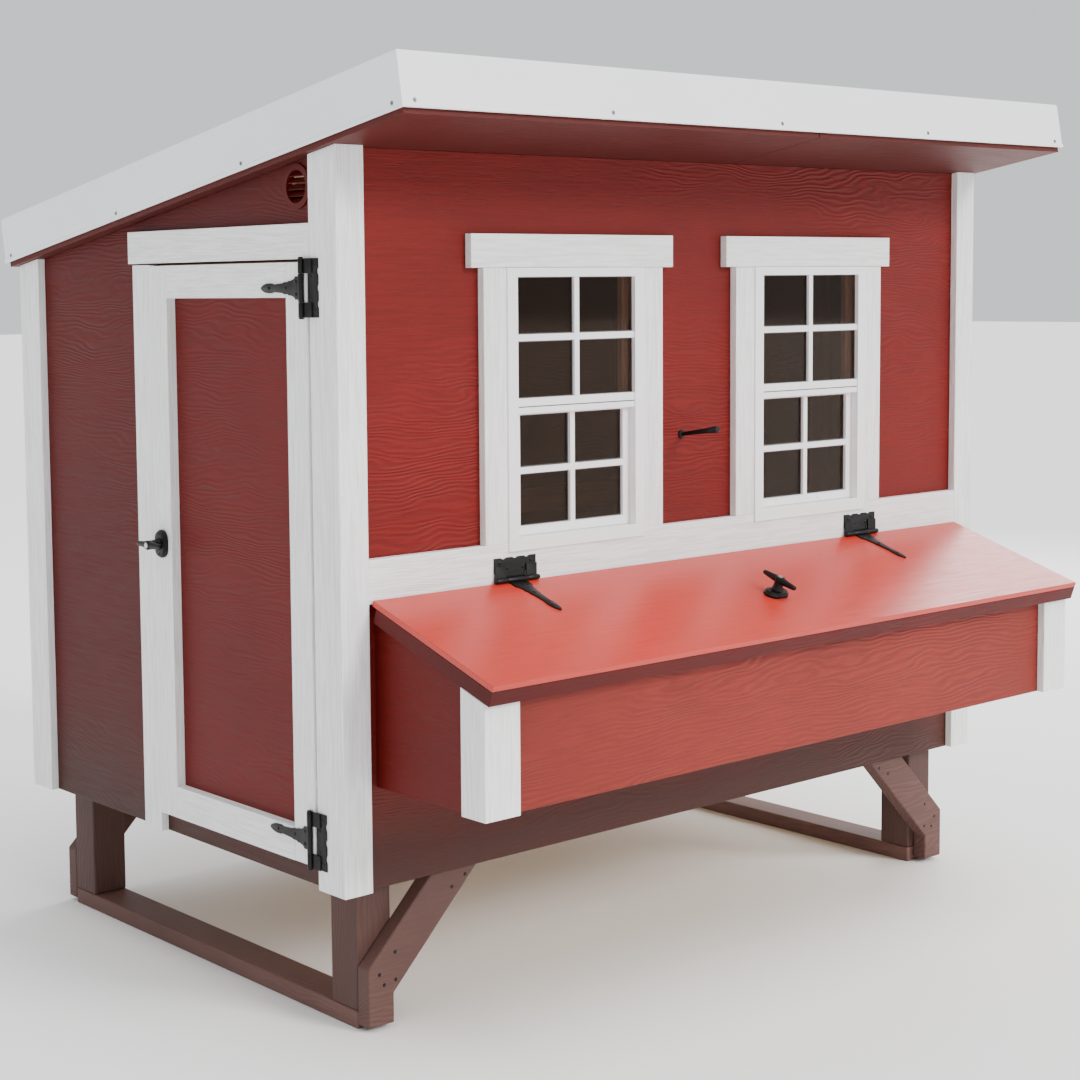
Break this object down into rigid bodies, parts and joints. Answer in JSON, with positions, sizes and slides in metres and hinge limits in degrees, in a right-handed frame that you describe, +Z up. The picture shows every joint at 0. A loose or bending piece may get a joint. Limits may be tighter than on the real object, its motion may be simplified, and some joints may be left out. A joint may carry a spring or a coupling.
{
  "type": "chicken coop",
  "caption": "Red framed chicken coop on two skids, with a sloping white metal roof, a side door on T-hinges, sliding windows and a lidded nest box along the front.",
  "frame": {"origin": "On the ground, under the middle of the whole coop with its door handle and roof.", "axes": "+X runs along the front wall to the right, -Y is the front with the nest box, +Z is up."},
  "size_m": [2.1182, 1.673, 1.94],
  "materials": {
    "red_paint": "satin",
    "white_paint": "satin",
    "brown_paint": "satin",
    "bare_wood": "matte",
    "white_plastic": "satin",
    "window_glass": "gloss",
    "red_plastic": "matte",
    "black_metal": "satin",
    "black_rubber": "matte",
    "white_steel": "satin",
    "screw_steel": "satin"
  },
  "bodies": {
    "coop": {"left_skid_rail": "brown_paint", "right_skid_rail": "brown_paint", "leg_posts": "brown_paint", "leg_braces": "brown_paint", "floor_joists": "bare_wood", "floor_deck": "bare_wood", "wall_studs": "bare_wood", "front_siding": "red_paint", "back_siding": "red_paint", "left_siding": "red_paint", "right_siding": "red_paint", "front_corner_trim": "white_paint", "back_corner_trim": "white_paint", "front_band": "white_paint", "left_window_trim": "white_paint", "right_window_trim": "white_paint", "door_trim": "white_paint", "door_stop": "bare_wood", "left_window_frame": "white_plastic", "right_window_frame": "white_plastic", "left_upper_glass": "window_glass", "right_upper_glass": "window_glass", "wall_vents": "red_plastic", "nest_front": "red_paint", "nest_sides": "red_paint", "nest_floor": "bare_wood", "nest_dividers": "bare_wood", "nest_corner_trim": "white_paint", "door_hinge_leaves": "black_metal", "door_hinge_pins": "black_metal", "lid_hinge_leaves": "black_metal", "lid_hinge_pins": "black_metal", "latch_keeper": "black_metal", "lid_stop": "black_metal", "lid_stop_tip": "black_rubber", "roof_rafters": "bare_wood", "roof_soffit": "brown_paint", "roof_deck": "bare_wood", "roof_sheet": "white_steel", "roof_fascia": "white_steel", "roof_edge_screws": "screw_steel", "roost_bars": "bare_wood", "pop_door_tracks": "white_paint"},
    "side_door": {"door_boards": "white_paint", "door_panel": "red_paint", "door_hinge_straps": "black_metal", "door_latch_plate": "black_metal"},
    "door_latch": {"door_latch_handle": "black_metal", "door_latch_cam": "black_metal"},
    "nest_lid": {"lid_panel": "red_paint", "lid_edging": "red_paint", "lid_hinge_straps": "black_metal", "lid_latch_plate": "black_metal"},
    "lid_latch": {"lid_latch_handle": "black_metal", "lid_latch_cam": "black_metal"},
    "left_sash": {"left_lower_sash": "white_plastic", "left_lower_glass": "window_glass"},
    "right_sash": {"right_lower_sash": "white_plastic", "right_lower_glass": "window_glass"},
    "hen_door": {"pop_door": "red_paint"}
  },
  "joints": [
    {"name": "side_door_hinge", "type": "hinge", "parent": "coop", "child": "side_door", "pos_m": [-1.0201, -0.3695, 0.9525], "axis": [0, 0, 1], "range_deg": [0, 170]},
    {"name": "door_latch_turn", "type": "hinge", "parent": "side_door", "child": "door_latch", "pos_m": [-1.0141, 0.1685, 0.9525], "axis": [-1, 0, 0], "range_deg": [-90, 0]},
    {"name": "nest_lid_hinge", "type": "hinge", "parent": "coop", "child": "nest_lid", "pos_m": [0.0109, -0.4825, 0.89632], "axis": [-1, 0, 0], "range_deg": [0, 91]},
    {"name": "lid_latch_turn", "type": "hinge", "parent": "nest_lid", "child": "lid_latch", "pos_m": [0.0289, -0.68213, 0.82319], "axis": [0, 0.3173, -0.9483], "range_deg": [0, 90]},
    {"name": "left_sash_slide", "type": "slide", "parent": "coop", "child": "left_sash", "axis": [0, 0, 1], "range_m": [0, 0.265]},
    {"name": "right_sash_slide", "type": "slide", "parent": "coop", "child": "right_sash", "axis": [0, 0, 1], "range_m": [0, 0.265]},
    {"name": "hen_door_slide", "type": "slide", "parent": "coop", "child": "hen_door", "axis": [0, 0, 1], "range_m": [0, 0.33]}
  ]
}
